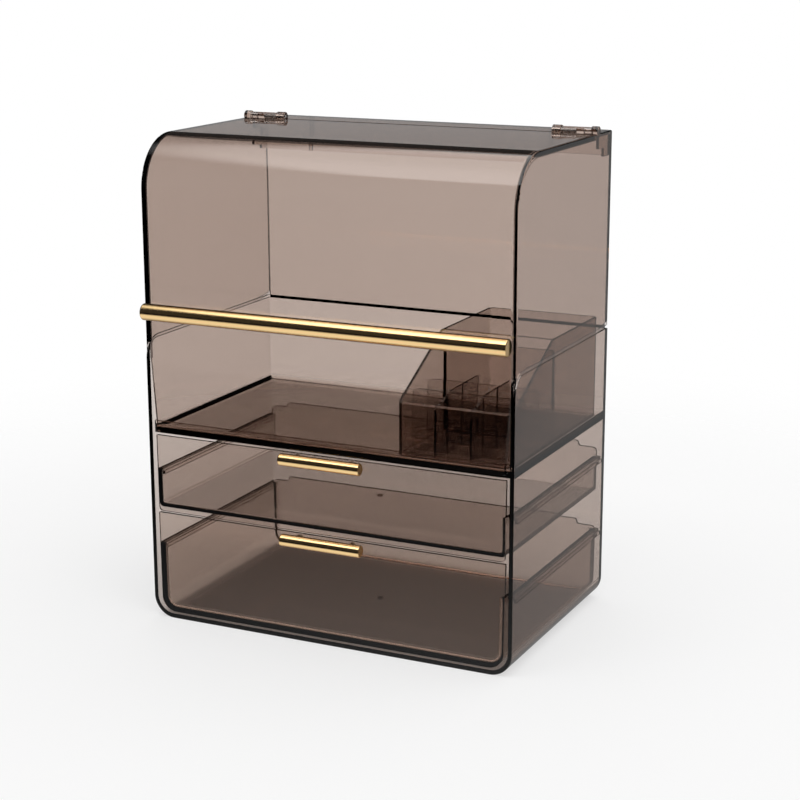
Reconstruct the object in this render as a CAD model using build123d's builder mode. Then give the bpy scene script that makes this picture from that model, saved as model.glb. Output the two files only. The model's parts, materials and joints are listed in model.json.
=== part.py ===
from build123d import *
from math import sqrt
import os

# A dustproof makeup organizer: a clear housing with two drawers and an open tray,
# a flip-up hood hinged to a fixed back, and a loose divided box that stands in the tray.
# Millimetres. The origin is the middle of the underside, x to the right, front towards -y.

# Outside of the closed organizer
width = 298.5
depth = 186
top_height = 370
front_y = -depth / 2
rear_y = depth / 2
half_width = width / 2

# Housing
side_wall = 3.2
rear_wall = 3
base_thickness = 3.5
base_radius = 17
inner_x = half_width - side_wall
inner_rear_y = rear_y - rear_wall
tray_top = 150
tray_thickness = 3.5
tray_bottom = tray_top - tray_thickness
tray_fillet = 4
lip_height = 5.8
lip_thickness = 2.3
lip_front_y = -89.6

# Rim: the outer half of each wall stops lower than the inner half, which keeps dust out
rim_height = 218.5
dust_lip = 2.5
dust_lip_width = 1.6
rim_corner = 14
rim_corner_y = front_y + rim_corner
rim_corner_z = rim_height - rim_corner

# Ledges on the side walls that the drawer runners slide on
ledge_tops = {"lower": 55.8, "upper": 114.8}
ledge_reach = 2.4
ledge_thickness = 2.8
ledge_front_y = -84
ledge_nose = 2

# Hood
hood_wall = 3
hood_radius = 39.5
hood_edge_radius = 1.2
hood_inner_radius = 2
hood_inner_x = half_width - hood_wall
hood_rear_y = 92
hood_top_rear_y = 61.5
hood_gap = 0.3
apron_bottom = 147.5
apron_half_bottom = 141.5
apron_half_top = 145.5
apron_corner = 3

# Hinge
hinge_y = 63
hinge_z = 371.5
knuckle_radius = 3.9
barrel_radius = 3.1
barrel_clearance = 0.5
knuckle_inner_x = 113.6
barrel_inner_x = 120.2
barrel_outer_x = 144.4
knuckle_gap = 0.3
pin_radius = 1.2
pin_outer_x = 132
spigot_radius = 1.6
spigot_length = 6
running_fit = 0.05

# Fixed back
panel_half_width = 145.9
flange_half_width = 145.7
flange_front_y = 64.5
flange_thickness = 3
flange_notch_y = 67.5
band_bottom = 351.5
band_thickness = 2.2
rib_x = 101.6
rib_thickness = 2.2
rib_depth = 5
gusset_thickness = 2.2
gusset_knee_y = 79
gusset_front_y = 67
gusset_knee_z = 358
gusset_fillet = 1.5

# Handles
hood_rod_radius = 6.35
hood_rod_length = 293
hood_rod_y = -98.9
hood_rod_z = 241.2
hood_screw_spacing = 220
drawer_rod_radius = 4.65
drawer_rod_length = 66
drawer_rod_y = -99
drawer_screw_spacing = 44
rod_end_fillet = 1.2
post_radius = 3.2
screw_radius = 1.5
screw_head_radius = 3
screw_head_height = 1.9
screw_grip = 5
screw_clearance = 0.05

# Drawers: a tall front, a back lower than it, and sides that end in the runners
drawers = {
    "lower": {"bottom": 4.9, "floor_bottom": 4.9, "floor_top": 7.2, "back_top": 64.5, "front_top": 84,
              "corner": 12, "handle_z": 79.5},
    "upper": {"bottom": 85.5, "floor_bottom": 88.6, "floor_top": 91.2, "back_top": 128.5,
              "front_top": 145.2, "corner": 3, "handle_z": 141.2},
}
drawer_half_width = 143.2
drawer_draft = 0.01
drawer_wall = 2.4
drawer_front_y = -92.6
drawer_inner_front_y = drawer_front_y + drawer_wall
drawer_rear_y = 87.4
drawer_length = drawer_rear_y - drawer_inner_front_y
runner_half_width = 145.7
runner_thickness = 2.6
runner_clearance = 0.2
runner_front_y = -86
back_step = 4
back_step_x = 128
back_step_radius = 1.9
back_corner_radius = 3.2
gate_radius = 2.5
gate_height = 0.3

# Loose box in the tray
box_left = 57
box_right = 143.5
box_front_y = -86.6
box_rear_y = 80.5
box_bottom = tray_top + 0.2
box_wall = 2
box_outer_radius = 4
box_inner_radius = 2
box_front_top = 190.5
box_rear_top = 229.5
box_slope_end_y = -12
cross_wall_y = -9
cross_wall_top = 221
cross_wall_corner = 8
floor_top = box_bottom + box_wall
box_inner_width = box_right - box_left - 2 * box_wall
divider_thickness = 1.6
divider_fit = 0.1
divider_corner = 4
divider_foot_radius = 2.5
slot_width = divider_thickness + 2 * divider_fit
lap_height = 175
long_dividers = {"left": 86, "right": 113.5}
cross_dividers = {"front": (-64.5, 197), "rear": (-38.7, 198.5)}
long_divider_front_top = 188.5
long_divider_knee_y = -59.5
long_divider_knee_top = 196.6
long_divider_rear_top = 197.3

os.makedirs("parts", exist_ok=True)


def finish_part(builder, name):
    builder.part.label = name
    export_step(builder.part, f"parts/{name}.step")


def slab(x_from, x_to, y_from, y_to, z_from, z_to, mode=Mode.ADD):
    # A rectangular block or cut given by its six faces
    with Locations((x_from, y_from, z_from)):
        return Box(x_to - x_from, y_to - y_from, z_to - z_from, align=Align.MIN, mode=mode)


def rim_outline(rise):
    # Side view of the housing wall, with its rim lifted by rise all along, round corner included
    radius = rim_corner + rise
    meet_z = rim_corner_z + sqrt(radius**2 - rim_corner**2)
    top = rim_height + rise
    with BuildSketch() as outline:
        with BuildLine():
            arc = RadiusArc((front_y, meet_z), (rim_corner_y, top), radius)
            Polyline(arc @ 1, (rear_y, top), (rear_y, 0), (front_y, 0), arc @ 0)
        make_face()
    return outline.sketch


def hood_seat(rise):
    # What the hood's lower edge clears: the rim under it and, behind the hinge, its own swing
    reach = hinge_z - rim_height - rise
    with BuildSketch() as seat:
        with Locations((hinge_y, rim_corner_z)):
            Rectangle(depth, 2 * rim_corner, align=Align.MIN)
        with Locations((hinge_y, hinge_z)):
            Circle(reach, mode=Mode.SUBTRACT)
        add(rim_outline(rise))
    return seat.sketch


def hood_outline(inset):
    # Side view of the hood's skin, or of its hollow when inset by the wall; the hollow runs out behind
    with BuildSketch() as outline:
        with Locations((front_y + inset, rim_corner_z - inset)):
            Rectangle(hood_rear_y - front_y, top_height - rim_corner_z, align=Align.MIN)
        front_top = outline.vertices().group_by(Axis.Y)[-1].sort_by(Axis.X)[0]
        fillet(front_top, hood_radius - inset)
    return outline.sketch


def drawer_section(bottom, top, radius, inset, front_top):
    # Front view of a drawer whose drafted sides are widest at the top of its front
    with BuildSketch() as section:
        half_top = drawer_half_width - inset - drawer_draft * (front_top - top)
        half_bottom = half_top - drawer_draft * (top - bottom)
        with BuildLine():
            Polyline((-half_bottom, bottom), (half_bottom, bottom), (half_top, top), (-half_top, top),
                     close=True)
        make_face()
        fillet(section.vertices().group_by(Axis.Y)[0], radius)
    return section.sketch


def from_inside(x, y, z):
    # A plane on the back of a front panel, looking inwards, so that holes run forwards
    return Plane(origin=(x, y, z), x_dir=(1, 0, 0), z_dir=(0, 1, 0))


def make_screw(name, x, head_y, z, length):
    with BuildPart() as screw:
        with BuildSketch(from_inside(x, head_y, z)):
            Circle(screw_radius)
        extrude(amount=-length)
        with BuildSketch(from_inside(x, head_y, z)):
            Circle(screw_head_radius)
        extrude(amount=screw_head_height)
        head_rim = screw.edges().filter_by(GeomType.CIRCLE).sort_by(Axis.Y)[-1]
        fillet(head_rim, screw_head_height / 2)
        with BuildSketch(from_inside(x, head_y + screw_head_height, z)):
            Rectangle(screw_head_radius, screw_radius / 3)
            Rectangle(screw_radius / 3, screw_head_radius)
        extrude(amount=-screw_head_height / 2, mode=Mode.SUBTRACT)
    finish_part(screw, name)


# The tray's hollow, with filleted floor edges
with BuildPart() as tray_space:
    slab(-inner_x, inner_x, lip_front_y + lip_thickness, inner_rear_y, tray_top, top_height)
    fillet(tray_space.faces().sort_by(Axis.Z)[0].edges(), tray_fillet)

# Housing: a tube with round lower corners, closed behind, cut to the shape of its rim
with BuildPart() as housing:
    with BuildSketch(Plane.XZ.offset(-rear_y)) as shell_section:
        Rectangle(width, rim_height + dust_lip, align=(Align.CENTER, Align.MIN))
        fillet(shell_section.vertices().group_by(Axis.Y)[0], base_radius)
    extrude(amount=depth)
    with BuildSketch(Plane.YZ):
        add(rim_outline(dust_lip))
    extrude(amount=width, both=True, mode=Mode.INTERSECT)

    # the drawer bay runs in from the front, its lower corners inside the outer ones
    with BuildSketch(Plane.XZ.offset(-inner_rear_y)) as bay_section:
        with Locations((0, base_thickness)):
            Rectangle(2 * inner_x, tray_bottom - base_thickness, align=(Align.CENTER, Align.MIN))
        fillet(bay_section.vertices().group_by(Axis.Y)[0], base_radius - side_wall)
    extrude(amount=depth, mode=Mode.SUBTRACT)
    add(tray_space.part, mode=Mode.SUBTRACT)

    # the front stands open above the drawers, so that the hood closes over the tray's low lip
    slab(-inner_x, inner_x, front_y, lip_front_y, tray_bottom, top_height, mode=Mode.SUBTRACT)
    slab(-inner_x, inner_x, lip_front_y, inner_rear_y, tray_top + lip_height, top_height,
         mode=Mode.SUBTRACT)

    # the outer half of the rim steps down on the sides and behind
    with BuildSketch(Plane.YZ.offset(half_width - dust_lip_width)):
        add(rim_outline(dust_lip))
        add(rim_outline(0), mode=Mode.SUBTRACT)
    side_step = extrude(amount=dust_lip_width, mode=Mode.SUBTRACT)
    mirror(side_step, about=Plane.YZ, mode=Mode.SUBTRACT)
    slab(-half_width, half_width, rear_y - dust_lip_width, rear_y, rim_height, top_height,
         mode=Mode.SUBTRACT)

    # a ledge for each drawer runner, rounded at its front end
    for ledge_top in ledge_tops.values():
        with BuildSketch(Plane.XY.offset(ledge_top)) as ledge_plan:
            with Locations((inner_x, ledge_front_y)):
                Rectangle(ledge_reach, inner_rear_y - ledge_front_y, align=(Align.MAX, Align.MIN))
            fillet(ledge_plan.vertices().group_by(Axis.Y)[0].sort_by(Axis.X)[0], ledge_nose)
        ledge = extrude(amount=-ledge_thickness)
        mirror(ledge, about=Plane.YZ)
finish_part(housing, "housing")

# Fixed back: a plate on the housing's rear wall with a flange over a thicker band, and hinge barrels
with BuildPart() as rear_panel:
    slab(-panel_half_width, panel_half_width, inner_rear_y, rear_y, rim_height, top_height)
    slab(-panel_half_width, panel_half_width, inner_rear_y, rear_y - dust_lip_width,
         rim_height, rim_height + dust_lip, mode=Mode.SUBTRACT)
    flange_bottom = top_height - flange_thickness
    slab(-flange_half_width, flange_half_width, flange_front_y, inner_rear_y, flange_bottom, top_height)
    slab(-panel_half_width, panel_half_width, inner_rear_y - band_thickness, inner_rear_y,
         band_bottom, flange_bottom)
    rib = slab(rib_x, rib_x + rib_thickness, inner_rear_y - rib_depth, inner_rear_y,
               band_bottom, flange_bottom)
    mirror(rib, about=Plane.YZ)

    # a stepped gusset stiffens each end of the flange
    with BuildSketch(Plane.YZ.offset(panel_half_width - gusset_thickness)) as gusset_side:
        with BuildLine():
            Polyline((inner_rear_y, band_bottom), (gusset_knee_y, band_bottom),
                     (gusset_knee_y, gusset_knee_z), (gusset_front_y, gusset_knee_z),
                     (gusset_front_y, flange_bottom), (inner_rear_y, flange_bottom), close=True)
        make_face()
        fillet(gusset_side.vertices().group_by(Axis.Y)[1], gusset_fillet)
    gusset = extrude(amount=gusset_thickness)
    mirror(gusset, about=Plane.YZ)

    # the flange is notched where the hood's knuckles turn, and carries a barrel between each pair
    for notch_from, notch_to in ((knuckle_inner_x - knuckle_gap, barrel_inner_x + knuckle_gap),
                                 (barrel_outer_x - knuckle_gap, half_width)):
        notch = slab(notch_from, notch_to, flange_front_y, flange_notch_y, flange_bottom, top_height,
                     mode=Mode.SUBTRACT)
        mirror(notch, about=Plane.YZ, mode=Mode.SUBTRACT)
    with BuildSketch(Plane.YZ.offset(barrel_inner_x + knuckle_gap)):
        with Locations((hinge_y, hinge_z)):
            Circle(barrel_radius)
    barrel = extrude(amount=barrel_outer_x - barrel_inner_x - 2 * knuckle_gap)
    mirror(barrel, about=Plane.YZ)
    for bore_from, bore_to, bore_radius in (
            (barrel_inner_x, pin_outer_x, pin_radius),
            (barrel_outer_x - spigot_length - knuckle_gap, barrel_outer_x, spigot_radius + running_fit)):
        with BuildSketch(Plane.YZ.offset(bore_from)):
            with Locations((hinge_y, hinge_z)):
                Circle(bore_radius)
        bore = extrude(amount=bore_to - bore_from, mode=Mode.SUBTRACT)
        mirror(bore, about=Plane.YZ, mode=Mode.SUBTRACT)
finish_part(rear_panel, "rear_panel")

# The hood's hollow, open below and behind
with BuildPart() as hood_space:
    with BuildSketch(Plane.YZ):
        add(hood_outline(hood_wall))
    extrude(amount=hood_inner_x, both=True)
    hollow_sides = hood_space.faces().filter_by(Axis.X).edges()
    open_edges = hood_space.edges().group_by(Axis.Z)[0] + hood_space.edges().group_by(Axis.Y)[-1]
    fillet(hollow_sides - open_edges, hood_inner_radius)

# Hood: one moulding whose front panel hangs down in front of the tray's lip
with BuildPart() as hood:
    with BuildSketch(Plane.YZ):
        add(hood_outline(0))
    extrude(amount=half_width, both=True)
    skin_sides = hood.faces().filter_by(Axis.X).edges()
    cut_edges = hood.edges().group_by(Axis.Z)[0] + hood.edges().group_by(Axis.Y)[-1]
    fillet(skin_sides - cut_edges, hood_edge_radius)
    add(hood_space.part, mode=Mode.SUBTRACT)
    slab(-hood_inner_x, hood_inner_x, hood_top_rear_y, rear_y, top_height - 2 * hood_wall, top_height,
         mode=Mode.SUBTRACT)

    # the side panels seat on the rim, their outer half reaching down over the dust lip
    lip_outer_x = half_width - dust_lip_width + hood_gap
    for cut_from, cut_to, rise in ((inner_x - hood_gap, lip_outer_x, dust_lip + hood_gap),
                                   (lip_outer_x, half_width, hood_gap)):
        with BuildSketch(Plane.YZ.offset(cut_from)):
            add(hood_seat(rise))
        seat_cut = extrude(amount=cut_to - cut_from, mode=Mode.SUBTRACT)
        mirror(seat_cut, about=Plane.YZ, mode=Mode.SUBTRACT)

    # the front panel narrows downwards between the housing's side walls
    with BuildSketch(Plane.XZ.offset(-front_y)) as apron:
        with BuildLine():
            Polyline((-apron_half_bottom, apron_bottom), (apron_half_bottom, apron_bottom),
                     (apron_half_top, rim_corner_z), (-apron_half_top, rim_corner_z), close=True)
        make_face()
        fillet(apron.vertices().group_by(Axis.Y)[0], apron_corner)
    extrude(amount=-hood_wall)

    # the top is notched round each barrel, between two knuckles
    barrel_notch = slab(barrel_inner_x, barrel_outer_x, hinge_y - barrel_radius - barrel_clearance,
                        hinge_y, top_height - 2 * hood_wall, top_height, mode=Mode.SUBTRACT)
    mirror(barrel_notch, about=Plane.YZ, mode=Mode.SUBTRACT)
    for knuckle_from, knuckle_to in ((knuckle_inner_x, barrel_inner_x), (barrel_outer_x, half_width)):
        with BuildSketch(Plane.YZ.offset(knuckle_from)):
            with Locations((hinge_y, hinge_z)):
                Circle(knuckle_radius)
        knuckle = extrude(amount=knuckle_to - knuckle_from)
        mirror(knuckle, about=Plane.YZ)
    with BuildSketch(Plane.YZ.offset(barrel_outer_x)):
        with Locations((hinge_y, hinge_z)):
            Circle(spigot_radius)
    spigot = extrude(amount=-spigot_length)
    mirror(spigot, about=Plane.YZ)
    with BuildSketch(Plane.YZ.offset(knuckle_inner_x)):
        with Locations((hinge_y, hinge_z)):
            Circle(pin_radius + running_fit)
    pin_bore = extrude(amount=barrel_inner_x - knuckle_inner_x, mode=Mode.SUBTRACT)
    mirror(pin_bore, about=Plane.YZ, mode=Mode.SUBTRACT)

    # screw holes for the handle
    for screw_x in (-hood_screw_spacing / 2, hood_screw_spacing / 2):
        with Locations(from_inside(screw_x, front_y + hood_wall, hood_rod_z)):
            Hole(screw_radius + screw_clearance, depth=hood_wall)
finish_part(hood, "hood")

# Hinge pins, through the inner knuckles into the barrels
for side, direction in (("left", -1), ("right", 1)):
    with BuildPart() as hinge_pin:
        with BuildSketch(Plane.YZ.offset(direction * knuckle_inner_x)):
            with Locations((hinge_y, hinge_z)):
                Circle(pin_radius)
        extrude(amount=direction * (pin_outer_x - knuckle_inner_x))
        chamfer(hinge_pin.edges().filter_by(GeomType.CIRCLE), pin_radius / 5)
    finish_part(hinge_pin, f"hinge_pin_{side}")

# Hood handle: a rod as long as the hood is wide, with a flat that lies on the front panel
with BuildPart() as hood_handle:
    with BuildSketch(Plane.YZ):
        with Locations((hood_rod_y, hood_rod_z)):
            Circle(hood_rod_radius)
    extrude(amount=hood_rod_length / 2, both=True)
    fillet(hood_handle.edges().filter_by(GeomType.CIRCLE), rod_end_fillet)
    slab(-half_width, half_width, front_y, hinge_y, rim_height, hinge_z, mode=Mode.SUBTRACT)
    for screw_x in (-hood_screw_spacing / 2, hood_screw_spacing / 2):
        with Locations(from_inside(screw_x, front_y, hood_rod_z)):
            Hole(screw_radius, depth=screw_grip)
finish_part(hood_handle, "hood_handle")
for side, direction in (("left", -1), ("right", 1)):
    make_screw(f"hood_handle_screw_{side}", direction * hood_screw_spacing / 2, front_y + hood_wall,
               hood_rod_z, hood_wall + screw_grip)

# The two drawers, each with its handle and screws
for level, sizes in drawers.items():
    front_top = sizes["front_top"]
    back_top = sizes["back_top"]
    floor_bottom = sizes["floor_bottom"]
    handle_z = sizes["handle_z"]
    corner = sizes["corner"]
    inner_corner = max(corner - drawer_wall, drawer_wall)
    runner_z = ledge_tops[level] + runner_clearance
    runner_top = runner_z + runner_thickness

    with BuildPart() as drawer_space:
        with BuildSketch(Plane.XZ.offset(-drawer_rear_y + drawer_wall)):
            add(drawer_section(sizes["floor_top"], front_top, inner_corner, drawer_wall, front_top))
        extrude(amount=drawer_length - drawer_wall)
        floor_ends = drawer_space.faces().sort_by(Axis.Z)[0].edges().filter_by(Axis.X)
        fillet(floor_ends, inner_corner / 2)

    with BuildPart() as drawer:
        with BuildSketch(Plane.XZ.offset(-drawer_rear_y)):
            add(drawer_section(floor_bottom, runner_top, corner, 0, front_top))
        extrude(amount=drawer_length)
        add(drawer_space.part, mode=Mode.SUBTRACT)
        with BuildSketch(Plane.XZ.offset(-drawer_inner_front_y)):
            add(drawer_section(sizes["bottom"], front_top, corner, 0, front_top))
        extrude(amount=drawer_wall)

        # the back rises above the sides, its middle part higher than its ends by an S
        with BuildSketch(Plane.XZ.offset(-drawer_rear_y)) as back:
            add(drawer_section(floor_bottom, back_top, corner, 0, front_top))
            for step_from, step_to in ((-half_width, -back_step_x), (back_step_x, half_width)):
                with Locations((step_from, back_top - back_step)):
                    Rectangle(step_to - step_from, 2 * back_step, align=Align.MIN, mode=Mode.SUBTRACT)
            shoulders = back.vertices().group_by(Axis.Y)[-2].sort_by(Axis.X)
            fillet([shoulders[0], shoulders[-1]], back_corner_radius)
            shoulders = back.vertices().group_by(Axis.Y)[-2].sort_by(Axis.X)
            fillet(back.vertices().group_by(Axis.Y)[-1] + shoulders[1:3], back_step_radius)
        extrude(amount=drawer_wall)

        # runners along both sides, and the mark of the mould's gate under the floor
        runner = slab(drawer_half_width - drawer_wall / 2, runner_half_width, runner_front_y, drawer_rear_y,
                      runner_z, runner_top)
        mirror(runner, about=Plane.YZ)
        with BuildSketch(Plane.XY.offset(floor_bottom)):
            Circle(gate_radius)
        extrude(amount=-gate_height)
        for screw_x in (-drawer_screw_spacing / 2, drawer_screw_spacing / 2):
            with Locations(from_inside(screw_x, drawer_inner_front_y, handle_z)):
                Hole(screw_radius + screw_clearance, depth=drawer_wall)
    finish_part(drawer, f"{level}_drawer")

    with BuildPart() as drawer_handle:
        with BuildSketch(Plane.YZ):
            with Locations((drawer_rod_y, handle_z)):
                Circle(drawer_rod_radius)
        extrude(amount=drawer_rod_length / 2, both=True)
        fillet(drawer_handle.edges().filter_by(GeomType.CIRCLE), rod_end_fillet)
        with BuildSketch(Plane.XZ.offset(-drawer_front_y)):
            with Locations((-drawer_screw_spacing / 2, handle_z), (drawer_screw_spacing / 2, handle_z)):
                Circle(post_radius)
        extrude(amount=drawer_front_y - drawer_rod_y)
        for screw_x in (-drawer_screw_spacing / 2, drawer_screw_spacing / 2):
            with Locations(from_inside(screw_x, drawer_front_y, handle_z)):
                Hole(screw_radius, depth=screw_grip)
    finish_part(drawer_handle, f"{level}_drawer_handle")
    for side, direction in (("left", -1), ("right", 1)):
        make_screw(f"{level}_handle_screw_{side}", direction * drawer_screw_spacing / 2,
                   drawer_inner_front_y, handle_z, drawer_wall + screw_grip)

# The loose box's two rooms, in front of and behind its cross wall
with BuildPart() as box_rooms:
    for room_from, room_to in ((box_front_y + box_wall, cross_wall_y - box_wall / 2),
                               (cross_wall_y + box_wall / 2, box_rear_y - box_wall)):
        slab(box_left + box_wall, box_right - box_wall, room_from, room_to, floor_top, top_height)
    upright_edges = box_rooms.edges().filter_by(Axis.Z)
    floor_edges = box_rooms.edges().group_by(Axis.Z)[0]
    fillet(upright_edges + floor_edges, box_inner_radius)

# Loose box: low in front, high behind, with a moulded cross wall
with BuildPart() as insert_box:
    with BuildSketch(Plane.YZ.offset(box_left)):
        with BuildLine():
            Polyline((box_front_y, box_bottom), (box_front_y, box_front_top),
                     (box_slope_end_y, box_rear_top), (box_rear_y, box_rear_top),
                     (box_rear_y, box_bottom), close=True)
        make_face()
    extrude(amount=box_right - box_left)
    outer_edges = insert_box.edges().filter_by(Axis.Z) + insert_box.edges().group_by(Axis.Z)[0]
    fillet(outer_edges, box_outer_radius)
    add(box_rooms.part, mode=Mode.SUBTRACT)
    with BuildSketch(Plane.XZ.offset(-cross_wall_y - box_wall / 2 - box_inner_radius)) as above_wall:
        with Locations(((box_left + box_right) / 2, cross_wall_top)):
            Rectangle(box_inner_width, 2 * cross_wall_corner, align=(Align.CENTER, Align.CENTER))
            Rectangle(box_inner_width, 2 * cross_wall_corner, align=(Align.CENTER, Align.MAX),
                      mode=Mode.SUBTRACT)
    extrude(amount=box_wall + 2 * box_inner_radius, mode=Mode.SUBTRACT)
finish_part(insert_box, "insert_box")

# Long dividers, from the front wall to the cross wall, slotted from above
for side, divider_x in long_dividers.items():
    with BuildPart() as long_divider:
        divider_front_y = box_front_y + box_wall + divider_fit
        divider_rear_y = cross_wall_y - box_wall / 2 - divider_fit
        with BuildSketch(Plane.YZ.offset(divider_x - divider_thickness / 2)) as divider_side:
            with BuildLine():
                Polyline((divider_front_y, floor_top), (divider_front_y, long_divider_front_top),
                         (long_divider_knee_y, long_divider_knee_top),
                         (divider_rear_y, long_divider_rear_top), (divider_rear_y, floor_top), close=True)
            make_face()
            fillet(divider_side.vertices().group_by(Axis.Y)[0], divider_foot_radius)
            for cross_y, cross_top in cross_dividers.values():
                with Locations((cross_y, lap_height)):
                    Rectangle(slot_width, cross_top, align=(Align.CENTER, Align.MIN), mode=Mode.SUBTRACT)
        extrude(amount=divider_thickness)
    finish_part(long_divider, f"long_divider_{side}")

# Cross dividers, from side to side, slotted from below to drop over the long ones
for place, (cross_y, cross_top) in cross_dividers.items():
    with BuildPart() as cross_divider:
        with BuildSketch(Plane.XZ.offset(-cross_y - divider_thickness / 2)) as divider_front:
            with Locations(((box_left + box_right) / 2, floor_top)):
                Rectangle(box_inner_width - 2 * divider_fit, cross_top - floor_top,
                          align=(Align.CENTER, Align.MIN))
            fillet(divider_front.vertices().group_by(Axis.Y)[0], divider_foot_radius)
            fillet(divider_front.vertices().group_by(Axis.Y)[-1], divider_corner)
            for divider_x in long_dividers.values():
                with Locations((divider_x, lap_height)):
                    Rectangle(slot_width, lap_height, align=(Align.CENTER, Align.MAX), mode=Mode.SUBTRACT)
        extrude(amount=divider_thickness)
    finish_part(cross_divider, f"cross_divider_{place}")
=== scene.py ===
import json
from math import radians
import bpy
from mathutils import Matrix, Vector

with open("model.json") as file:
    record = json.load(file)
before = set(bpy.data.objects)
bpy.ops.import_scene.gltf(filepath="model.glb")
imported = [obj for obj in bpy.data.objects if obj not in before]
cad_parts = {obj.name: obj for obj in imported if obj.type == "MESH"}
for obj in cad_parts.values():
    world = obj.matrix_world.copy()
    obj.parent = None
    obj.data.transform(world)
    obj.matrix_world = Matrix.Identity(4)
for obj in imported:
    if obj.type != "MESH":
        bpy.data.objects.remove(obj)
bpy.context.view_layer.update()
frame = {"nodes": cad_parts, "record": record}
nodes = frame["nodes"]
record = frame["record"]
print("frame loaded:", len(nodes), "nodes")


class Wire:  # a shader socket that stands in a Python expression
    def __init__(self, tree, socket=None):
        self.tree = tree
        self.socket = socket

    # any node: its type, its settings, the values or links of its sockets
    def node(self, kind, settings, sockets, output=0):
        made = self.tree.nodes.new("ShaderNode" + kind)
        for name, value in settings.items():
            setattr(made, name, value)
        for name, value in sockets.items():
            if isinstance(value, Wire):
                self.tree.links.new(value.socket, made.inputs[name])
            else:
                made.inputs[name].default_value = value
        return Wire(self.tree, made.outputs[output] if made.outputs else None)

    def maths(self, operation, first, second):
        return self.node("Math", {"operation": operation}, {0: first, 1: second})

    def __add__(self, other):
        return self.maths("ADD", self, other)

    def __radd__(self, other):
        return self.maths("ADD", other, self)

    def __sub__(self, other):
        return self.maths("SUBTRACT", self, other)

    def __rsub__(self, other):
        return self.maths("SUBTRACT", other, self)

    def __mul__(self, other):
        return self.maths("MULTIPLY", self, other)

    def __rmul__(self, other):
        return self.maths("MULTIPLY", other, self)


def newMaterial(name):
    material = bpy.data.materials.new(name)
    material.use_nodes = True
    material.node_tree.nodes.clear()
    return material, Wire(material.node_tree)


def ramp(value, start, end):  # 0 before start, 1 past end, smooth between
    smooth = {"interpolation_type": "SMOOTHSTEP"}
    return value.node("MapRange", smooth, {0: value, 1: start, 2: end})


smokedClear = {
    "surfaceColour": (1, 1, 1, 1),  # the tint is in the volume
    "ior": 1.5,
    "roughnessSpread": 0.004,
    "fineScale": 60.0,
    "fineDetail": 3.0,
    "waveScale": 9,
    "waveDetail": 1.0,
    "waveHeight": 0.00003,
    "waveStrength": 0.3,
    "gateRadius": 0.0027,
    "gateCore": 0.7,
    "gateColour": (0.3, 0.25, 0.23, 1),
}

# the one plastic, with its tint and density set in each moulding to match how dark that piece
# looks: the insert is made darker and the dividers lighter this way; the lower drawer's higher
# density and more orange tint are painted shade, standing for the object's shadow on the floor
# beneath it
smokedMouldings = {
    "smokedHood": {
        "pieces": ("hood", "rear_panel"),
        "tint": (0.519, 0.342, 0.235, 1),
        "density": 222,
        "gateMark": False,
    },
    "smokedBody": {
        "pieces": ("housing",),
        "tint": (0.519, 0.334, 0.22, 1),
        "density": 160,
        "gateMark": False,
    },
    "smokedUpperDrawer": {
        "pieces": ("upper_drawer",),
        "tint": (0.519, 0.334, 0.22, 1),
        "density": 160,
        "gateMark": True,
    },
    # painted shade: denser and more orange than the upper drawer, for the shadow that lies under
    # the object
    "smokedLowerDrawerPaintedShade": {
        "pieces": ("lower_drawer",),
        "tint": (0.519, 0.31, 0.17, 1),
        "density": 185,
        "gateMark": True,
    },
    "smokedInsert": {
        "pieces": ("insert_box",),
        "tint": (0.519, 0.365, 0.275, 1),
        "density": 385,
        "gateMark": False,
    },
    "smokedDivider": {
        "pieces": (
            "long_divider_left", "long_divider_right", "cross_divider_front", "cross_divider_rear",
        ),
        "tint": (0.519, 0.42, 0.37, 1),
        "density": 230,
        "gateMark": False,
    },
}


def gateMarked(tree, place):  # the dull moulding spot in the middle of a drawer's floor
    flat = tree.node("VectorMath", {"operation": "MULTIPLY"}, {0: place, 1: (1, 1, 0)})
    reach = tree.node("VectorMath", {"operation": "LENGTH"}, {0: flat}, "Value")
    radius = smokedClear["gateRadius"]
    spot = ramp(reach, radius, radius * smokedClear["gateCore"])
    colours = {0: spot, 6: smokedClear["surfaceColour"], 7: smokedClear["gateColour"]}
    return tree.node("Mix", {"data_type": "RGBA"}, colours, 2)  # 6 and 7 in, 2 out are its colours


def smokedMaterial(name, moulding):
    material, tree = newMaterial(name)
    place = tree.node("TexCoord", {}, {}, "Object")
    wave = tree.node("TexNoise", {}, {
        "Vector": place,
        "Scale": smokedClear["waveScale"],
        "Detail": smokedClear["waveDetail"],
    })
    fine = tree.node("TexNoise", {}, {
        "Vector": place,
        "Scale": smokedClear["fineScale"],
        "Detail": smokedClear["fineDetail"],
    })
    bump = tree.node("Bump", {}, {
        "Height": wave,
        "Distance": smokedClear["waveHeight"],
        "Strength": smokedClear["waveStrength"],
    })
    colour = smokedClear["surfaceColour"]
    if moulding["gateMark"]:
        colour = gateMarked(tree, place)
    surface = tree.node("BsdfPrincipled", {}, {
        "Base Color": colour,
        "Roughness": smokedClear["roughnessSpread"] * fine,
        "IOR": smokedClear["ior"],
        "Transmission Weight": 1.0,
        "Normal": bump,
    })
    volume = tree.node("VolumeAbsorption", {}, {
        "Color": moulding["tint"],
        "Density": moulding["density"],
    })
    tree.node("OutputMaterial", {}, {"Surface": surface, "Volume": volume})
    return material


polishedGold = {
    "colour": (0.95, 0.66, 0.32, 1),
    "roughness": 0.15,
    "roughnessSpread": 0.05,
    "fineScale": 300.0,
    "fineDetail": 3.0,
}

zincSteel = {
    "colour": (0.7, 0.7, 0.7, 1),
    "roughness": 0.2,
    "roughnessSpread": 0.15,
    "fineScale": 900.0,
    "fineDetail": 4.0,
}


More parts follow.
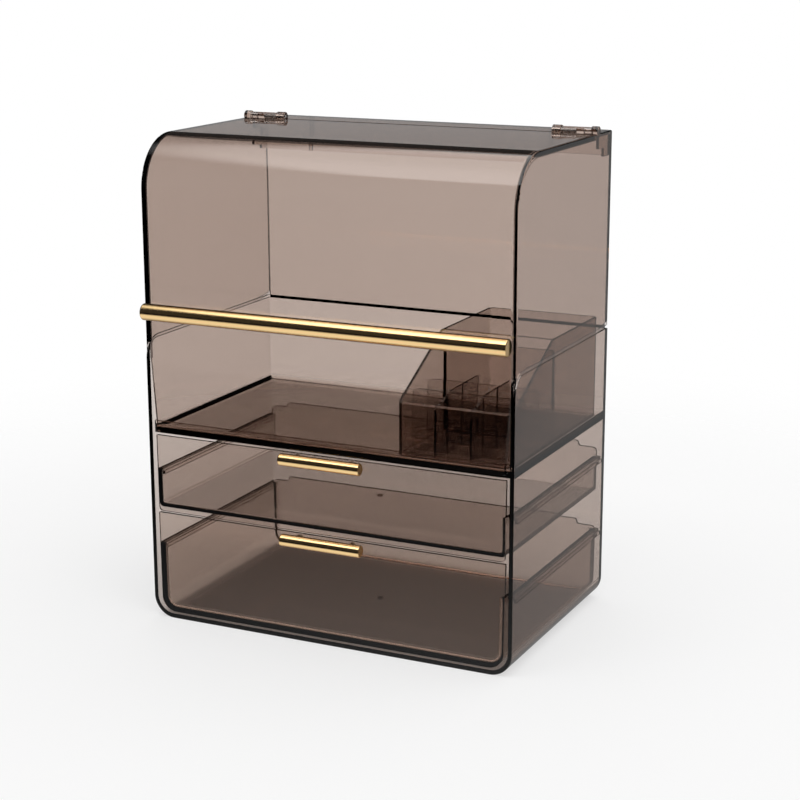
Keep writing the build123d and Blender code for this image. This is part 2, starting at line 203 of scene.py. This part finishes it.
def metalMaterial(name, metal):
    material, tree = newMaterial(name)
    place = tree.node("TexCoord", {}, {}, "Object")
    fine = tree.node("TexNoise", {}, {
        "Vector": place,
        "Scale": metal["fineScale"],
        "Detail": metal["fineDetail"],
    })
    surface = tree.node("BsdfPrincipled", {}, {
        "Base Color": metal["colour"],
        "Metallic": 1.0,
        "Roughness": metal["roughness"] + metal["roughnessSpread"] * fine,
    })
    tree.node("OutputMaterial", {}, {"Surface": surface})
    return material


smokedOf = {}
for name, moulding in smokedMouldings.items():
    smoked = smokedMaterial(name, moulding)
    for piece in moulding["pieces"]:
        smokedOf[piece] = smoked
metalOf = {
    "gold_rod": metalMaterial("polishedGold", polishedGold),
    "steel": metalMaterial("zincSteel", zincSteel),
}
for part in record["subparts"]:
    name = part["node"]
    mesh = nodes[name].data
    mesh.materials.clear()
    mesh.materials.append(smokedOf.get(name) or metalOf[part["material_slot"]])
print("materials set:", len(record["subparts"]), "nodes")

paleFloor = {
    "size": 4,
    "gap": 0.0002,
    "colour": (0.93, 0.93, 0.93, 1),
    "fadeFrom": 0.4,
    "fadeTo": 0.9,
    "whiteGlow": 1.0,
    "whitening": 0.6,
    "whiteningThrough": 0.2,
}


def inMirror(tree):  # 1 once a ray has been mirrored, 0 while it only passes straight through
    return tree.maths("MINIMUM", tree.node("LightPath", {}, {}, "Glossy Depth"), 1.0)


# the floor fades out round the object, and mirrored rays don't see it
def layFloor():
    height = -paleFloor["gap"]
    bpy.ops.mesh.primitive_plane_add(size=paleFloor["size"], location=(0, 0, height))
    floor = bpy.context.object
    floor.name = "floor"
    material, tree = newMaterial("paleFloor")
    place = tree.node("TexCoord", {}, {}, "Object")
    reach = tree.node("VectorMath", {"operation": "LENGTH"}, {0: place}, "Value")
    matte = tree.node("BsdfDiffuse", {}, {"Color": paleFloor["colour"]})
    white = tree.node("Emission", {}, {"Strength": paleFloor["whiteGlow"]})
    mirrored = inMirror(tree)
    seen = tree.node("LightPath", {}, {}, "Is Camera Ray") * paleFloor["whitening"]
    crossed = tree.node("LightPath", {}, {}, "Is Transmission Ray")
    through = crossed * (1.0 - mirrored) * paleFloor["whiteningThrough"]
    paper = tree.node("MixShader", {}, {0: seen + through, 1: matte, 2: white})
    gone = tree.node("BsdfTransparent", {}, {})
    fade = mirrored + (1.0 - mirrored) * ramp(reach, paleFloor["fadeFrom"], paleFloor["fadeTo"])
    sheet = tree.node("MixShader", {}, {0: fade, 1: paper, 2: gone})
    tree.node("OutputMaterial", {}, {"Surface": sheet})
    floor.data.materials.append(material)


# of a ray's direction, y is -1 to the front and 1 to the back, and z is -1 down and 1 up;
# the softbox is measured on a ceiling one unit up
studio = {
    "tableGlow": 1.2,
    "glossTableRear": 0.42,
    "glossTableFront": 1.15,
    "nearTableFrom": -0.25,
    "nearTableTo": -0.5,
    "sideBlend": 0.3,
    "horizon": 0.03,
    "roomGlow": 0.035,
    "rearGlow": 0.5,
    "rearFrom": -0.2,
    "rearTo": 0.5,
    "rearHeight": 0.2,
    "rearFoot": 0.05,
    "softboxGlow": 1.8,
    "softboxLeft": -0.64,
    "softboxRight": 1.2,
    "softboxFront": -0.78,
    "softboxBack": 1.07,
    "softboxEdge": 0.06,
    "heartGlow": 1.4,
    "heartFrom": 0.3,
    "heartTo": -0.5,
    "leastHeight": 0.0001,
    "backdropColour": (1, 1, 1, 1),
    "backdropGlow": 1.0,
}


def inside(value, low, high, edge):  # 1 between low and high, falling to 0 over the soft edge
    return ramp(value, low - edge, low + edge) * ramp(value, high + edge, high - edge)


def softbox(tree, x, y, z):  # one wide light overhead, brighter towards the front
    height = tree.maths("MAXIMUM", z, studio["leastHeight"])
    across = tree.maths("DIVIDE", x, height)
    along = tree.maths("DIVIDE", y, height)
    edge = studio["softboxEdge"]
    wide = inside(across, studio["softboxLeft"], studio["softboxRight"], edge)
    deep = inside(along, studio["softboxFront"], studio["softboxBack"], edge)
    heart = ramp(along, studio["heartFrom"], studio["heartTo"]) * studio["heartGlow"]
    return wide * deep * (heart + studio["softboxGlow"])


def table(tree, y, z):  # a white table without end, of which mirrored rays see less
    mirrored = inMirror(tree)
    rear = ramp(y, -studio["sideBlend"], studio["sideBlend"])
    near = ramp(z, studio["nearTableFrom"], studio["nearTableTo"])
    front = near * (1.0 - rear) * studio["glossTableFront"]
    glossTable = front + rear * studio["glossTableRear"]
    return mirrored * glossTable + (1.0 - mirrored) * studio["tableGlow"]


def darkRoom(y, z):  # dark above the table, with a low glow behind the object
    behind = ramp(y, studio["rearFrom"], studio["rearTo"])
    low = ramp(z, studio["rearHeight"], studio["rearFoot"])
    return behind * low * studio["rearGlow"] + studio["roomGlow"]


# the camera sees plain white, a ray straight through the plastic sees the pale background,
# and every other ray sees the table, the dark room and the softbox
def buildStudio():
    world = bpy.data.worlds.new("studio")
    bpy.context.scene.world = world
    world.use_nodes = True
    world.node_tree.nodes.clear()
    tree = Wire(world.node_tree)
    direction = tree.node("TexCoord", {}, {}, "Generated")
    x, y, z = (tree.node("SeparateXYZ", {}, {"Vector": direction}, axis) for axis in range(3))
    below = ramp(z, studio["horizon"], -studio["horizon"])
    room = below * table(tree, y, z) + (1.0 - below) * darkRoom(y, z) + softbox(tree, x, y, z)
    crossed = tree.node("LightPath", {}, {}, "Is Transmission Ray")
    scattered = tree.maths("MINIMUM", tree.node("LightPath", {}, {}, "Diffuse Depth"), 1.0)
    through = crossed * (1.0 - inMirror(tree)) * (1.0 - scattered)
    glow = through * studio["tableGlow"] + (1.0 - through) * room
    around = tree.node("Background", {}, {"Strength": glow})
    backdrop = tree.node("Background", {}, {
        "Color": studio["backdropColour"],
        "Strength": studio["backdropGlow"],
    })
    camera = tree.node("LightPath", {}, {}, "Is Camera Ray")
    shown = tree.node("MixShader", {}, {0: camera, 1: around, 2: backdrop})
    tree.node("OutputWorld", {}, {"Surface": shown})


lens = {
    "place": (0.6181, -1.2492, 0.5199),
    "turn": 25.696,
    "tilt": 14.226,
    "roll": -0.116,
    "focalLength": 84.54,
    "sensorWidth": 36,
    "clipEnd": 100,
}


def placeCamera():
    camera = bpy.data.objects.new("camera", bpy.data.cameras.new("camera"))
    bpy.context.scene.collection.objects.link(camera)
    turn = Matrix.Rotation(radians(lens["turn"]), 4, "Z")
    tilt = Matrix.Rotation(radians(90 - lens["tilt"]), 4, "X")
    roll = Matrix.Rotation(radians(lens["roll"]), 4, "Z")
    camera.matrix_world = Matrix.Translation(Vector(lens["place"])) @ turn @ tilt @ roll
    camera.data.lens = lens["focalLength"]
    camera.data.sensor_width = lens["sensorWidth"]
    camera.data.clip_end = lens["clipEnd"]
    bpy.context.scene.camera = camera


bounces = {"clearWalls": 40, "gloss": 12}  # many clear walls stand behind one another


def setLooks():
    scene = bpy.context.scene
    scene.view_settings.view_transform = "Standard"
    scene.cycles.max_bounces = bounces["clearWalls"]
    scene.cycles.transmission_bounces = bounces["clearWalls"]
    scene.cycles.transparent_max_bounces = bounces["clearWalls"]
    scene.cycles.glossy_bounces = bounces["gloss"]


layFloor()
buildStudio()
placeCamera()
setLooks()
print("studio and camera set")
